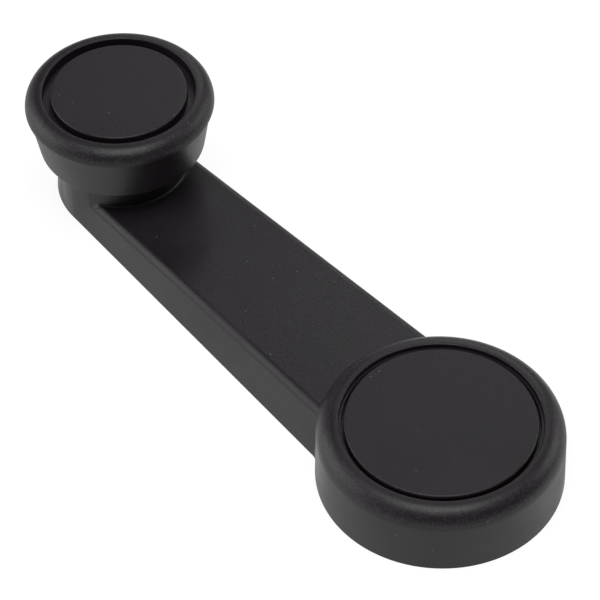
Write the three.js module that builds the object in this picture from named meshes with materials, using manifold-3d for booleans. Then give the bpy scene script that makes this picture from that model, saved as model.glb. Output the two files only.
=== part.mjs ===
// Car window winder handle: a ribbed plastic arm with a round hub, a fixing screw and a splined
// insert under a snap-in cap, and a mushroom knob that turns freely on a steel pin.
// Millimetres, +Z up and away from the door. The underside of the hub and arm lies at z = 0.

import * as THREE from 'three';
import { mergeVertices } from 'three/addons/utils/BufferGeometryUtils.js';
import Module from 'manifold-3d';

const wasm = await Module();
wasm.setup();

// Driving dimensions shared by the whole handle
const armReach = 90; // hub axis to knob axis
const clearance = 0.3; // gap left between neighbouring pieces
const overrun = 2; // how far a cut passes the face that it opens
const ringSteps = 64; // facets round the hub and knob
const smallRingSteps = 28; // facets round pins, bores and washers
const roundSteps = 4; // facets across a rounded edge or fillet

// Hub: the round end that fits over the window regulator spindle
const hub = {
  rimWidth: 3.85,
  skirtFlare: 0.2,
  height: 13,
  roundAcross: 3.35,
  roundDown: 3.7,
  skirtWall: 2.1,
  floorThickness: 1.8,
  capSeatWidth: 2.55,
  pocketDepth: 1,
  ribCount: 8,
  ribThickness: 1.6,
};

// Cap that snaps into the hub
const hubCap = {
  radius: 16.65,
  gap: 0.9,
  thickness: 1.6,
  sink: 0.1,
  edgeRound: 0.35,
  legCount: 4,
  legInset: 1.4,
  legThickness: 1.2,
  legWidth: 5,
  hookReach: 0.9,
  hookHeight: 1.3,
};

// Steel insert with the splined socket for the spindle
const insert = {
  baseLift: 0.6,
  hexRadius: 8.1,
  flangeRadius: 9.3,
  flangeThickness: 1,
  webThickness: 1.6,
  splineTipRadius: 4.6,
  splineRootRadius: 5.1,
  splineCount: 24,
  sleeveWall: 2.4,
};

// Screw and washer that hold the handle on the spindle
const screw = {
  shankRadius: 2.5,
  headRadius: 4.4,
  headHeight: 2,
  headRound: 1,
  tipLift: 1,
  tipChamfer: 0.6,
  recessLength: 4.6,
  recessWidth: 1.2,
  recessDepth: 1.1,
};
const screwWasher = { radius: 5.4, thickness: 0.8 };

// Arm: a tapering channel section that slopes down towards the knob
const arm = {
  heightAtHub: 10.8,
  heightAtKnob: 6.6,
  halfWidthAtHub: 15.4,
  halfWidthAtKnob: 12.05,
  endLength: 14.6,
  draft: THREE.MathUtils.degToRad(9.8),
  edgeRound: 1.4,
  rootFillet: 2.4,
  wall: 2,
  plate: 2.4,
  ribThickness: 1.5,
  cellCount: 5,
};

// Boss on the end of the arm that carries the knob
const boss = {
  taper: 0.4,
  height: 12.8,
  edgeRound: 0.5,
  wall: 2.2,
  topThickness: 2.2,
  tubeRadius: 6.9,
  ribCount: 4,
  ribThickness: 1.5,
};

// Steel pin that the knob turns on
const pin = {
  radius: 3,
  headRadius: 5,
  headHeight: 1.6,
  headLift: 0.8,
  endChamfer: 0.5,
  endLength: 0.9,
  grooveDepth: 0.7,
};

// Spring washer that takes up the play between the boss and the knob
const waveWasher = { radius: 6, thickness: 0.4, waveRise: 0.4, waveCount: 3, seatDepth: 1.2 };

// Washer and clip that keep the knob on its pin
const thrustWasher = { radius: 6.2, thickness: 0.8 };
const clip = {
  radius: 5.2,
  thickness: 0.8,
  mouth: THREE.MathUtils.degToRad(70),
};

// Knob: a drum that widens upwards to a rounded rim
const knob = {
  runningGap: 0.6,
  rimWidth: 3.35,
  lipOverhang: 0.5,
  drumTaper: 1.5,
  lipHeight: 22.5,
  height: 25.5,
  roundAcross: 2.95,
  roundDown: 2.9,
  drumEdge: 0.3,
  wall: 2,
  bottomThickness: 1.8,
  ledgeWidth: 2.6,
  ledgeThickness: 1.3,
  tubeWall: 1.8,
  tubeHeight: 3.9,
  ribCount: 6,
  ribThickness: 1.4,
  ribHeight: 4.6,
};

// Cap that snaps into the knob
const knobCap = {
  radius: 12.6,
  gap: 1.45,
  thickness: 1.6,
  sink: 0.1,
  edgeRound: 0.35,
  legCount: 3,
  legThickness: 1.1,
  legWidth: 4,
  hookReach: 0.9,
  hookHeight: 1,
};

// Bearing bush between the knob and its pin
const bush = { wall: 1.3, flangeWidth: 1.4, flangeThickness: 1, standProud: 0.3 };

// Outer radii, worked out from the cap that each end holds
const hubRecessRadius = hubCap.radius + hubCap.gap;
const hubShoulderRadius = hubRecessRadius + hub.rimWidth;
const hubBaseRadius = hubShoulderRadius + hub.skirtFlare;
const knobRecessRadius = knobCap.radius + knobCap.gap;
const knobRimRadius = knobRecessRadius + knob.rimWidth;
const drumTopRadius = knobRimRadius - knob.lipOverhang;
const drumRadius = drumTopRadius - knob.drumTaper;
const bossTopRadius = arm.halfWidthAtKnob - boss.taper;

// Places along the arm
const hubX = (hubBaseRadius - knobRimRadius - armReach) / 2;
const knobX = hubX + armReach;

// Heights in the hub, worked down from its rim
const hubCapTop = hub.height - hubCap.sink;
const hubCapUnder = hubCapTop - hubCap.thickness;
const hubLedge = hubCapUnder - clearance;
const hubPocketFloor = hubLedge - hub.pocketDepth;
const hubCeiling = hubPocketFloor - hub.floorThickness;
const screwHeadTop = hubCapUnder - clearance;
const screwHeadUnder = screwHeadTop - screw.headHeight;
const screwWasherTop = screwHeadUnder - clearance;
const screwWasherUnder = screwWasherTop - screwWasher.thickness;
const insertTop = screwWasherUnder - clearance;
const insertWebUnder = insertTop - insert.webThickness;
const insertFlangeUnder = insertTop - insert.flangeThickness;

// Radii in the hub
const hubSkirtInner = hubShoulderRadius - hub.skirtWall;
const hubPocketRadius = hubRecessRadius - hub.capSeatWidth;
const hubLegOuter = hubPocketRadius - hubCap.legInset;
const hexFitRadius = insert.hexRadius + clearance / Math.cos(Math.PI / 6);
const hubSleeveRadius = hexFitRadius + insert.sleeveWall;

// Heights on the knob axis, worked up from the boss and down from the knob's rim
const knobBottom = boss.height + knob.runningGap;
const knobFloor = knobBottom + knob.bottomThickness;
const knobTubeTop = knobFloor + knob.tubeHeight;
const knobRibTop = knobFloor + knob.ribHeight;
const knobCapTop = knob.height - knobCap.sink;
const knobCapUnder = knobCapTop - knobCap.thickness;
const knobLedge = knobCapUnder - clearance;
const knobLedgeUnder = knobLedge - knob.ledgeThickness;
const bushTop = knobTubeTop + bush.standProud;
const thrustWasherUnder = bushTop + clearance;
const thrustWasherTop = thrustWasherUnder + thrustWasher.thickness;
const clipUnder = thrustWasherTop + clearance;
const clipTop = clipUnder + clip.thickness;
const pinGrooveTop = clipTop + clearance;
const pinTop = pinGrooveTop + pin.endLength;
const pinHeadTop = pin.headLift + pin.headHeight;
const waveSeat = boss.height - waveWasher.seatDepth;

// Radii on the knob axis
const boreRadius = pin.radius + clearance;
const bushRadius = boreRadius + bush.wall;
const bushFlangeRadius = bushRadius + bush.flangeWidth;
const knobBoreRadius = bushRadius + clearance;
const knobTubeRadius = knobBoreRadius + knob.tubeWall;
const knobInnerFoot = drumRadius - knob.wall;
const knobInnerTop = drumTopRadius - knob.wall;
const knobLedgeRadius = knobRecessRadius - knob.ledgeWidth;
const waveSeatRadius = waveWasher.radius + clearance;
const pinSeatRadius = pin.headRadius + clearance;

// Finishes
const material = (color, roughness, metalness) =>
  new THREE.MeshStandardMaterial({ color, roughness, metalness, flatShading: true });
const blackPlastic = () => material(0x1d1c1e, 0.55, 0);
const whiteNylon = () => material(0xd9d6cc, 0.5, 0);
const zincSteel = () => material(0xb4b6b8, 0.35, 0.9);
const springSteel = () => material(0x6e7074, 0.4, 0.9);

// Turns a closed three.js geometry into a solid that can be joined and cut
function solid(geometry) {
  geometry.deleteAttribute('normal');
  geometry.deleteAttribute('uv');
  const merged = mergeVertices(geometry);
  const corners = merged.index.array;
  const kept = [];
  for (let i = 0; i < corners.length; i += 3) {
    const [a, b, c] = [corners[i], corners[i + 1], corners[i + 2]];
    if (a !== b && b !== c && c !== a) kept.push(a, b, c);
  }
  return new wasm.Manifold(
    new wasm.Mesh({
      numProp: 3,
      vertProperties: merged.attributes.position.array,
      triVerts: Uint32Array.from(kept),
    }),
  );
}

// Turns a finished solid into a named mesh
function piece(name, body, finish) {
  const mesh = body.getMesh();
  const geometry = new THREE.BufferGeometry();
  geometry.setAttribute('position', new THREE.BufferAttribute(mesh.vertProperties, 3));
  geometry.setIndex(new THREE.BufferAttribute(mesh.triVerts, 1));
  geometry.computeVertexNormals();
  const made = new THREE.Mesh(geometry, finish);
  made.name = name;
  return made;
}

// Spins a profile of [radius, height] points round the Z axis
function turned(profile, steps = ringSteps) {
  const points = profile.map(([radius, height]) => new THREE.Vector2(radius, height));
  return solid(new THREE.LatheGeometry(points, steps).rotateX(Math.PI / 2));
}

// A plain disc or cylinder between two heights
function disc(radius, low, high, steps = ringSteps) {
  return turned([[0, low], [radius, low], [radius, high], [0, high]], steps);
}

// A flat ring between two radii and two heights
function ring(inner, outer, low, high, steps = ringSteps) {
  return turned([[inner, low], [outer, low], [outer, high], [inner, high], [inner, low]], steps);
}

// A box centred on X and Y, standing between two heights
function block(length, width, low, high) {
  const height = high - low;
  return solid(new THREE.BoxGeometry(length, width, height).translate(0, 0, low + height / 2));
}

// A hexagonal prism between two heights
function hexPrism(radius, low, high) {
  const height = high - low;
  const geometry = new THREE.CylinderGeometry(radius, radius, height, 6);
  return solid(geometry.rotateX(Math.PI / 2).translate(0, 0, low + height / 2));
}

// Points of a rounded corner, from a wall that rises to a top that runs inwards
function roundedEdge(radius, top, across, down) {
  const points = [];
  for (let i = 0; i <= roundSteps; i += 1) {
    const turn = (i / roundSteps) * (Math.PI / 2);
    points.push([radius - across * (1 - Math.cos(turn)), top - down * (1 - Math.sin(turn))]);
  }
  return points;
}

// Copies a solid round the Z axis, starting from a given angle in degrees
function spread(body, count, start) {
  let copies = body.rotate([0, 0, start]);
  for (let i = 1; i < count; i += 1) {
    copies = copies.add(body.rotate([0, 0, start + (i * 360) / count]));
  }
  return copies;
}

const onHub = (body) => body.translate([hubX, 0, 0]);
const onKnob = (body) => body.translate([knobX, 0, 0]);

// Height of the arm's top for a place along X
function armTop(x) {
  const share = (x - hubX) / armReach;
  return arm.heightAtHub + (arm.heightAtKnob - arm.heightAtHub) * share;
}

// Points of an arc from one angle to another, a round one unless a second radius is given
function arc(centreX, centreY, radius, from, to, steps, radiusY = radius) {
  const curve = new THREE.EllipseCurve(centreX, centreY, radius, radiusY, from, to, to < from, 0);
  return curve.getPoints(steps);
}

// The fillet between the arm's side and the hub's skirt: a circle that touches both
function rootFillet() {
  const fall = arm.halfWidthAtHub - arm.halfWidthAtKnob;
  const along = new THREE.Vector2(armReach, -fall).normalize();
  const outwards = new THREE.Vector2(-along.y, along.x);
  const centre = new THREE.Vector2(0, arm.halfWidthAtHub);
  centre.addScaledVector(outwards, arm.rootFillet);
  const reach = hubBaseRadius + arm.rootFillet;
  const step = centre.dot(along);
  centre.addScaledVector(along, Math.sqrt(step ** 2 + reach ** 2 - centre.lengthSq()) - step);
  return {
    x: hubX + centre.x,
    y: centre.y,
    sideAngle: Math.atan2(-outwards.y, -outwards.x),
    hubAngle: Math.atan2(-centre.y, -centre.x),
  };
}

// The arm's outline seen from above, from the hub axis to the round end
function armOutline() {
  const { x, y, sideAngle, hubAngle } = rootFillet();
  const quarter = Math.PI / 2;
  return new THREE.Shape([
    new THREE.Vector2(hubX, -arm.halfWidthAtHub),
    ...arc(x, -y, arm.rootFillet, -hubAngle, -sideAngle, roundSteps),
    ...arc(knobX, 0, arm.endLength, -quarter, quarter, ringSteps / 2, arm.halfWidthAtKnob),
    ...arc(x, y, arm.rootFillet, sideAngle, hubAngle, roundSteps),
    new THREE.Vector2(hubX, arm.halfWidthAtHub),
  ]);
}

// The arm's body: its outline stood up in layers, which are drawn in by the draft and then round
// the top edge. The draft fades towards the tip. A wall and a plate are taken off for the hollow.
function armBody(wall, plate, round) {
  const layers = roundSteps + 1;
  const geometry = new THREE.ExtrudeGeometry(armOutline(), {
    depth: 1,
    steps: layers,
    bevelEnabled: false,
  });
  const place = geometry.attributes.position;
  for (let i = 0; i < place.count; i += 1) {
    const layer = Math.round(place.getZ(i) * layers);
    const turn = layer === 0 ? 0 : ((layer - 1) / roundSteps) * (Math.PI / 2);
    const axisX = Math.min(place.getX(i), knobX);
    const spoke = new THREE.Vector2(place.getX(i) - axisX, place.getY(i));
    const heightAt = (x) => (layer === 0 ? 0 : armTop(x) - plate - round * (1 - Math.sin(turn)));
    const sideways = (spoke.y / spoke.length()) ** 2;
    const lean = Math.tan(arm.draft) * sideways * heightAt(place.getX(i));
    spoke.setLength(spoke.length() - wall - lean - round * (1 - Math.cos(turn)));
    place.setXYZ(i, axisX + spoke.x, spoke.y, heightAt(axisX + spoke.x));
  }
  return solid(geometry);
}

// Hollow cells under the arm, between the hub skirt and the boss
function armCells() {
  const start = hubX + hubBaseRadius;
  const end = knobX - arm.halfWidthAtKnob;
  const pitch = (end - start + arm.ribThickness) / arm.cellCount;
  const width = 2 * arm.halfWidthAtHub;
  let ribs = block(armReach, arm.ribThickness, -overrun, arm.heightAtHub).translate([
    hubX + armReach / 2,
    0,
    0,
  ]);
  for (let i = 1; i < arm.cellCount; i += 1) {
    const x = start + i * pitch - arm.ribThickness / 2;
    ribs = ribs.add(
      block(arm.ribThickness, width, -overrun, arm.heightAtHub).translate([x, 0, 0]),
    );
  }
  const hollow = armBody(arm.wall, arm.plate, 0);
  const below = hollow.add(hollow.translate([0, 0, -clearance]));
  const tip = block(arm.endLength, width, -overrun, hub.height).translate([arm.endLength / 2, 0, 0]);
  return below
    .subtract(onHub(disc(hubBaseRadius, -overrun, hub.height)))
    .subtract(onKnob(disc(arm.halfWidthAtKnob, -overrun, hub.height).add(tip)))
    .subtract(ribs);
}

// Hollow cells of a round end, between a central tube and the outer wall
function roundCells(inner, outer, ceiling, count, thickness, start) {
  const rib = block(outer, thickness, -overrun, ceiling + overrun).translate([outer / 2, 0, 0]);
  return ring(inner, outer, -overrun, ceiling).subtract(spread(rib, count, start));
}

// Slots in the hub floor for the legs of the cap
function capSlots() {
  const depth = hubCap.legThickness + 2 * clearance;
  const width = hubCap.legWidth + 2 * clearance;
  const slot = block(depth, width, hubCeiling - overrun, hubPocketFloor + overrun);
  const place = hubLegOuter - hubCap.legThickness / 2;
  return spread(slot.translate([place, 0, 0]), hubCap.legCount, 0);
}

// Arm moulding with hub, arm and knob boss in one piece of plastic
function armShell() {
  const hubBody = turned([
    [0, 0],
    [hubBaseRadius, 0],
    ...roundedEdge(hubShoulderRadius, hub.height, hub.roundAcross, hub.roundDown),
    [0, hub.height],
  ]);
  const bossBody = turned([
    [0, 0],
    [arm.halfWidthAtKnob, 0],
    ...roundedEdge(bossTopRadius, boss.height, boss.edgeRound, boss.edgeRound),
    [0, boss.height],
  ]);
  const outside = armBody(0, 0, arm.edgeRound).add(onHub(hubBody)).add(onKnob(bossBody));

  const hubHollow = disc(hubRecessRadius, hubLedge, hub.height + overrun)
    .add(disc(hubPocketRadius, hubPocketFloor, hub.height))
    .add(disc(insert.flangeRadius + clearance, insertFlangeUnder - clearance, hub.height))
    .add(hexPrism(hexFitRadius, -overrun, insertTop))
    .add(capSlots())
    .add(
      roundCells(
        hubSleeveRadius,
        hubSkirtInner,
        hubCeiling,
        hub.ribCount,
        hub.ribThickness,
        180 / hub.ribCount,
      ),
    );

  const bossCellRadius = bossTopRadius - boss.wall;
  const bossCeiling = boss.height - boss.topThickness;
  const bossHollow = disc(boreRadius, -overrun, boss.height + overrun, smallRingSteps)
    .add(disc(pinSeatRadius, -overrun, pinHeadTop + clearance, smallRingSteps))
    .add(disc(waveSeatRadius, waveSeat, boss.height + overrun, smallRingSteps))
    .add(
      roundCells(
        boss.tubeRadius,
        bossCellRadius,
        bossCeiling,
        boss.ribCount,
        boss.ribThickness,
        180 / boss.ribCount,
      ),
    );
  return outside.subtract(onHub(hubHollow)).subtract(onKnob(bossHollow)).subtract(armCells());
}

// Splined steel insert, hexagonal so that it can't turn in the plastic
function splineInsert() {
  const body = hexPrism(insert.hexRadius, insert.baseLift, insertTop);
  const flange = disc(insert.flangeRadius, insertFlangeUnder, insertTop);
  const outline = new THREE.Shape();
  const flanks = 2 * insert.splineCount;
  for (let i = 0; i < flanks; i += 1) {
    const angle = (i / flanks) * 2 * Math.PI;
    const radius = i % 2 === 0 ? insert.splineRootRadius : insert.splineTipRadius;
    const x = radius * Math.cos(angle);
    const y = radius * Math.sin(angle);
    if (i === 0) outline.moveTo(x, y);
    else outline.lineTo(x, y);
  }
  const depth = insertWebUnder - insert.baseLift + overrun;
  const socket = solid(
    new THREE.ExtrudeGeometry(outline, { depth, bevelEnabled: false }).translate(
      0,
      0,
      insertWebUnder - depth,
    ),
  );
  const hole = disc(
    screw.shankRadius + clearance,
    insertWebUnder - overrun,
    insertTop + overrun,
    smallRingSteps,
  );
  return onHub(body.add(flange).subtract(socket).subtract(hole));
}

// Pan head screw with a cross recess
function hubScrew() {
  const shank = screw.shankRadius;
  const body = turned(
    [
      [0, screw.tipLift],
      [shank - screw.tipChamfer, screw.tipLift],
      [shank, screw.tipLift + screw.tipChamfer],
      [shank, screwHeadUnder],
      [screw.headRadius, screwHeadUnder],
      ...roundedEdge(screw.headRadius, screwHeadTop, screw.headRound, screw.headRound),
      [0, screwHeadTop],
    ],
    smallRingSteps,
  );
  const low = screwHeadTop - screw.recessDepth;
  const high = screwHeadTop + overrun;
  const recess = block(screw.recessLength, screw.recessWidth, low, high).add(
    block(screw.recessWidth, screw.recessLength, low, high),
  );
  return onHub(body.subtract(recess));
}

function screwWasherRing() {
  const hole = screw.shankRadius + clearance;
  return onHub(ring(hole, screwWasher.radius, screwWasherUnder, screwWasherTop, smallRingSteps));
}

// A cap: a disc with a rounded edge and hooked legs below it
function snapCap(sizes, top, under, legOuter, catchHeight) {
  const plate = turned([
    [0, under],
    [sizes.radius, under],
    ...roundedEdge(sizes.radius, top, sizes.edgeRound, sizes.edgeRound),
    [0, top],
  ]);
  const inner = legOuter - sizes.legThickness;
  const hookTop = catchHeight - clearance;
  const foot = hookTop - sizes.hookHeight;
  const side = new THREE.Shape();
  side.moveTo(inner, foot);
  side.lineTo(legOuter, foot);
  side.lineTo(legOuter + sizes.hookReach, hookTop);
  side.lineTo(legOuter, hookTop);
  side.lineTo(legOuter, under + sizes.thickness / 2);
  side.lineTo(inner, under + sizes.thickness / 2);
  const leg = solid(
    new THREE.ExtrudeGeometry(side, { depth: sizes.legWidth, bevelEnabled: false })
      .translate(0, 0, -sizes.legWidth / 2)
      .rotateX(Math.PI / 2),
  );
  return plate.add(spread(leg, sizes.legCount, 0));
}

function hubCapBody() {
  return onHub(snapCap(hubCap, hubCapTop, hubCapUnder, hubLegOuter, hubCeiling));
}

function knobCapBody() {
  const legOuter = knobLedgeRadius - clearance;
  return onKnob(snapCap(knobCap, knobCapTop, knobCapUnder, legOuter, knobLedgeUnder));
}

// Shouldered pin with its head under the boss and a groove for the clip
function knobPin() {
  const neck = pin.radius - pin.grooveDepth;
  return onKnob(
    turned(
      [
        [0, pin.headLift],
        [pin.headRadius, pin.headLift],
        [pin.headRadius, pinHeadTop],
        [pin.radius, pinHeadTop],
        [pin.radius, thrustWasherTop],
        [neck, thrustWasherTop],
        [neck, pinGrooveTop],
        [pin.radius, pinGrooveTop],
        [pin.radius, pinTop - pin.endChamfer],
        [pin.radius - pin.endChamfer, pinTop],
        [0, pinTop],
      ],
      smallRingSteps,
    ),
  );
}

// Spring washer bent into waves round its ring
function waveWasherRing() {
  const points = [
    [boreRadius, 0],
    [waveWasher.radius, 0],
    [waveWasher.radius, waveWasher.thickness],
    [boreRadius, waveWasher.thickness],
    [boreRadius, 0],
  ].map(([radius, height]) => new THREE.Vector2(radius, height));
  const geometry = new THREE.LatheGeometry(points, ringSteps).rotateX(Math.PI / 2);
  const place = geometry.attributes.position;
  for (let i = 0; i < place.count; i += 1) {
    const angle = Math.atan2(place.getY(i), place.getX(i));
    const rise = waveWasher.waveRise * (1 + Math.cos(waveWasher.waveCount * angle));
    place.setZ(i, place.getZ(i) + rise + waveSeat + clearance);
  }
  return onKnob(solid(geometry));
}

function thrustWasherRing() {
  return onKnob(
    ring(boreRadius, thrustWasher.radius, thrustWasherUnder, thrustWasherTop, smallRingSteps),
  );
}

// Open spring clip in the groove of the pin
function retainingClip() {
  const inner = pin.radius - pin.grooveDepth + clearance;
  const half = clip.mouth / 2;
  const outline = new THREE.Shape();
  outline.absarc(0, 0, clip.radius, half, 2 * Math.PI - half, false);
  outline.absarc(0, 0, inner, 2 * Math.PI - half, half, true);
  const geometry = new THREE.ExtrudeGeometry(outline, {
    depth: clip.thickness,
    bevelEnabled: false,
    curveSegments: smallRingSteps,
  });
  return onKnob(solid(geometry.translate(0, 0, clipUnder)));
}

// Knob moulding: rim, drum, ledge for the cap, and a ribbed tube for the bush
function knobBody() {
  const outside = turned([
    [0, knobBottom],
    [drumRadius - knob.drumEdge, knobBottom],
    [drumRadius, knobBottom + knob.drumEdge],
    [drumTopRadius, knob.lipHeight],
    [knobRimRadius, knob.lipHeight],
    ...roundedEdge(knobRimRadius, knob.height, knob.roundAcross, knob.roundDown),
    [0, knob.height],
  ]);
  const rib = block(drumTopRadius, knob.ribThickness, knobFloor, knobRibTop).translate([
    drumTopRadius / 2,
    0,
    0,
  ]);
  const ribs = spread(rib, knob.ribCount, 0);
  const tube = disc(knobTubeRadius, knobFloor - overrun, knobTubeTop);
  const above = disc(knobTubeRadius, knobTubeTop, knobRibTop + overrun);
  const inside = turned([
    [0, knobFloor],
    [knobInnerFoot, knobFloor],
    [knobInnerTop, knobLedgeUnder],
    [0, knobLedgeUnder],
  ]);
  const hollow = inside
    .subtract(ribs)
    .subtract(tube)
    .add(above.subtract(disc(knobTubeRadius, knobLedgeUnder, knob.height)))
    .add(disc(knobLedgeRadius, knobRibTop, knob.height))
    .add(disc(knobRecessRadius, knobLedge, knob.height + overrun))
    .add(disc(knobBoreRadius, knobBottom - overrun, knob.height, smallRingSteps))
    .add(
      disc(
        bushFlangeRadius + clearance,
        knobBottom - overrun,
        knobBottom + bush.flangeThickness + clearance,
        smallRingSteps,
      ),
    );
  return onKnob(outside.subtract(hollow));
}

// Flanged nylon bush in the knob's tube
function knobBush() {
  const flangeTop = knobBottom + bush.flangeThickness;
  return onKnob(
    turned(
      [
        [boreRadius, knobBottom],
        [bushFlangeRadius, knobBottom],
        [bushFlangeRadius, flangeTop],
        [bushRadius, flangeTop],
        [bushRadius, bushTop],
        [boreRadius, bushTop],
        [boreRadius, knobBottom],
      ],
      smallRingSteps,
    ),
  );
}

const handle = new THREE.Group();
handle.add(
  piece('arm_shell', armShell(), blackPlastic()),
  piece('spline_insert', splineInsert(), zincSteel()),
  piece('screw_washer', screwWasherRing(), zincSteel()),
  piece('hub_screw', hubScrew(), zincSteel()),
  piece('hub_cap', hubCapBody(), blackPlastic()),
  piece('knob_pin', knobPin(), zincSteel()),
  piece('wave_washer', waveWasherRing(), springSteel()),
  piece('thrust_washer', thrustWasherRing(), zincSteel()),
  piece('retaining_clip', retainingClip(), springSteel()),
  piece('knob_body', knobBody(), blackPlastic()),
  piece('knob_bush', knobBush(), whiteNylon()),
  piece('knob_cap', knobCapBody(), blackPlastic()),
);

export default handle;
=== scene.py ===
# %% [markdown]
# # A car window winder handle
# The real handle is one black plastic moulding with a hub, an arm and a boss. A knob turns on a
# steel pin that stands in the boss, and a snap-in cap closes the hub and another one the knob.
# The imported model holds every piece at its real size. This script models the pieces again with
# finer edges, gives each one its finish, and lights them like a small product photograph.

# %% Load the frame
import math

import bmesh
import bpy
from mathutils import Matrix, Vector


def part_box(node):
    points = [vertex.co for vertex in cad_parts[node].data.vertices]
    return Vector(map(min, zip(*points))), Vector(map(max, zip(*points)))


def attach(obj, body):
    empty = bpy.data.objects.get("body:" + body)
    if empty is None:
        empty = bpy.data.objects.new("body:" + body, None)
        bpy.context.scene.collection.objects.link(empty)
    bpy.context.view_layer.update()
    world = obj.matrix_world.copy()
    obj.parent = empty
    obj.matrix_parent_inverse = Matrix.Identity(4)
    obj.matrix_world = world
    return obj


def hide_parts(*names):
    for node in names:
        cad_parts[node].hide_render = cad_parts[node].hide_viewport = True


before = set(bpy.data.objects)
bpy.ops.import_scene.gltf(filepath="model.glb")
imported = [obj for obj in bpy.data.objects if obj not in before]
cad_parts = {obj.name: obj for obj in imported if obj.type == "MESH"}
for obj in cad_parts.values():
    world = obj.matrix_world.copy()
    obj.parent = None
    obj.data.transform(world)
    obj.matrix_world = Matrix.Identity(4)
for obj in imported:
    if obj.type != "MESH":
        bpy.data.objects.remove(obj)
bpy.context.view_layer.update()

MM = 0.001

# %% [markdown]
# ## The camera
# The handle was photographed from about 47 degrees above, with a long lens from half a metre
# away, so the far end looks only a little smaller than the near one. A camera could be placed by
# typing its position and rotation. Here it is placed as a photographer would: a point to aim at,
# a direction to stand in, a distance, a small tilt of the camera body, and the lens.

# %% Place the camera
AIM = Vector((-2.01, -2.34, 7.92)) * MM
VIEW_AZIMUTH = math.radians(231.575)
VIEW_ELEVATION = math.radians(46.80)
VIEW_DISTANCE = 534.24 * MM
CAMERA_ROLL = math.radians(-1.131)
LENS = 179.5
SENSOR = 36.0
CLIP_START = 10.0


def direction(azimuth, elevation):
    """A unit vector towards an azimuth and an elevation. Azimuth 0 points along -Y."""
    level = math.cos(elevation)
    return Vector((
        math.sin(azimuth) * level,
        -math.cos(azimuth) * level,
        math.sin(elevation),
    ))


def look_at(eye, target, roll=0.0):
    """The placing of a camera or lamp at a point, aimed at another."""
    turn = (target - eye).to_track_quat("-Z", "Y").to_matrix().to_4x4()
    return Matrix.Translation(eye) @ turn @ Matrix.Rotation(roll, 4, "Z")


camera_data = bpy.data.cameras.new("camera")
camera_data.lens = LENS
camera_data.sensor_width = SENSOR
camera_data.clip_start = CLIP_START * MM
camera = bpy.data.objects.new("camera", camera_data)
bpy.context.scene.collection.objects.link(camera)
eye = AIM + direction(VIEW_AZIMUTH, VIEW_ELEVATION) * VIEW_DISTANCE
camera.matrix_world = look_at(eye, AIM, CAMERA_ROLL)
bpy.context.scene.camera = camera
print("the camera stands at", [round(side / MM, 1) for side in eye], "mm")

# %% [markdown]
# ## Nodes by name
# A material is a small tree of nodes. These helpers add a node, map a value from one range to
# another and mix two colours, so that each material below reads as a short list.

# %% Helpers for node trees
COLOUR_A, COLOUR_B, COLOUR_OUT = 6, 7, 2


def node(tree, kind, **settings):
    made = tree.nodes.new(kind)
    for name, value in settings.items():
        setattr(made, name, value)
    return made


def plug(tree, value, socket):
    """Links a socket, or sets a plain number or colour."""
    if isinstance(value, bpy.types.NodeSocket):
        tree.links.new(value, socket)
    elif isinstance(value, tuple):
        socket.default_value = (*value, 1)
    else:
        socket.default_value = value


def ranged(tree, value, low, high, to_low=0.0, to_high=1.0):
    made = node(tree, "ShaderNodeMapRange")
    inputs = (value, low, high, to_low, to_high)
    for name, given in zip(("Value", "From Min", "From Max", "To Min", "To Max"), inputs):
        plug(tree, given, made.inputs[name])
    return made.outputs["Result"]


def mixed(tree, mask, first, second):
    made = node(tree, "ShaderNodeMix", data_type="RGBA")
    plug(tree, mask, made.inputs["Factor"])
    plug(tree, first, made.inputs[COLOUR_A])
    plug(tree, second, made.inputs[COLOUR_B])
    return made.outputs[COLOUR_OUT]


def math_node(tree, operation, first, second):
    made = node(tree, "ShaderNodeMath", operation=operation)
    plug(tree, first, made.inputs[0])
    plug(tree, second, made.inputs[1])
    return made.outputs[0]


# %% [markdown]
# ## The stage
# The handle lies on a white table in a white room. A lamp strong enough to burn the table out to
# white would also wash out the black plastic. So for rays that come from the camera, and for
# those that a glossy surface reflects or a clear one lets through, the table glows nearly white
# by itself. A small share of real light on top keeps the soft shadow under the handle. The room
# is white to the camera too, but dim to the pieces, so that the lamps shape the plastic.

# %% Make the material of the floor
FLOOR_GLOW = 0.90
FLOOR_SHARE = 0.14
FLOOR_TONE = 0.82


def seen_directly(tree):
    """1 for rays from the camera, from a glossy surface or through a clear one."""
    path = node(tree, "ShaderNodeLightPath").outputs
    glossy = math_node(tree, "MAXIMUM", path["Is Glossy Ray"], path["Is Transmission Ray"])
    return math_node(tree, "MAXIMUM", path["Is Camera Ray"], glossy)


def floor_material():
    material = bpy.data.materials.new("white table")
    material.use_nodes = True
    tree = material.node_tree
    tree.nodes.remove(tree.nodes["Principled BSDF"])
    glow = node(tree, "ShaderNodeEmission")
    plug(tree, FLOOR_GLOW, glow.inputs["Strength"])
    lit = node(tree, "ShaderNodeBsdfDiffuse")
    plug(tree, (FLOOR_SHARE,) * 3, lit.inputs["Color"])
    shown = node(tree, "ShaderNodeAddShader")
    tree.links.new(glow.outputs[0], shown.inputs[0])
    tree.links.new(lit.outputs[0], shown.inputs[1])
    plain = node(tree, "ShaderNodeBsdfDiffuse")
    plug(tree, (FLOOR_TONE,) * 3, plain.inputs["Color"])
    choice = node(tree, "ShaderNodeMixShader")
    plug(tree, seen_directly(tree), choice.inputs["Fac"])
    tree.links.new(plain.outputs[0], choice.inputs[1])
    tree.links.new(shown.outputs[0], choice.inputs[2])
    tree.links.new(choice.outputs[0], tree.nodes["Material Output"].inputs["Surface"])
    return material


white_table = floor_material()
print("the floor's material has", len(white_table.node_tree.nodes), "nodes")

# %% Lay the floor
FLOOR_SIZE = 1.0
FLOOR_DROP = 0.02


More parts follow.
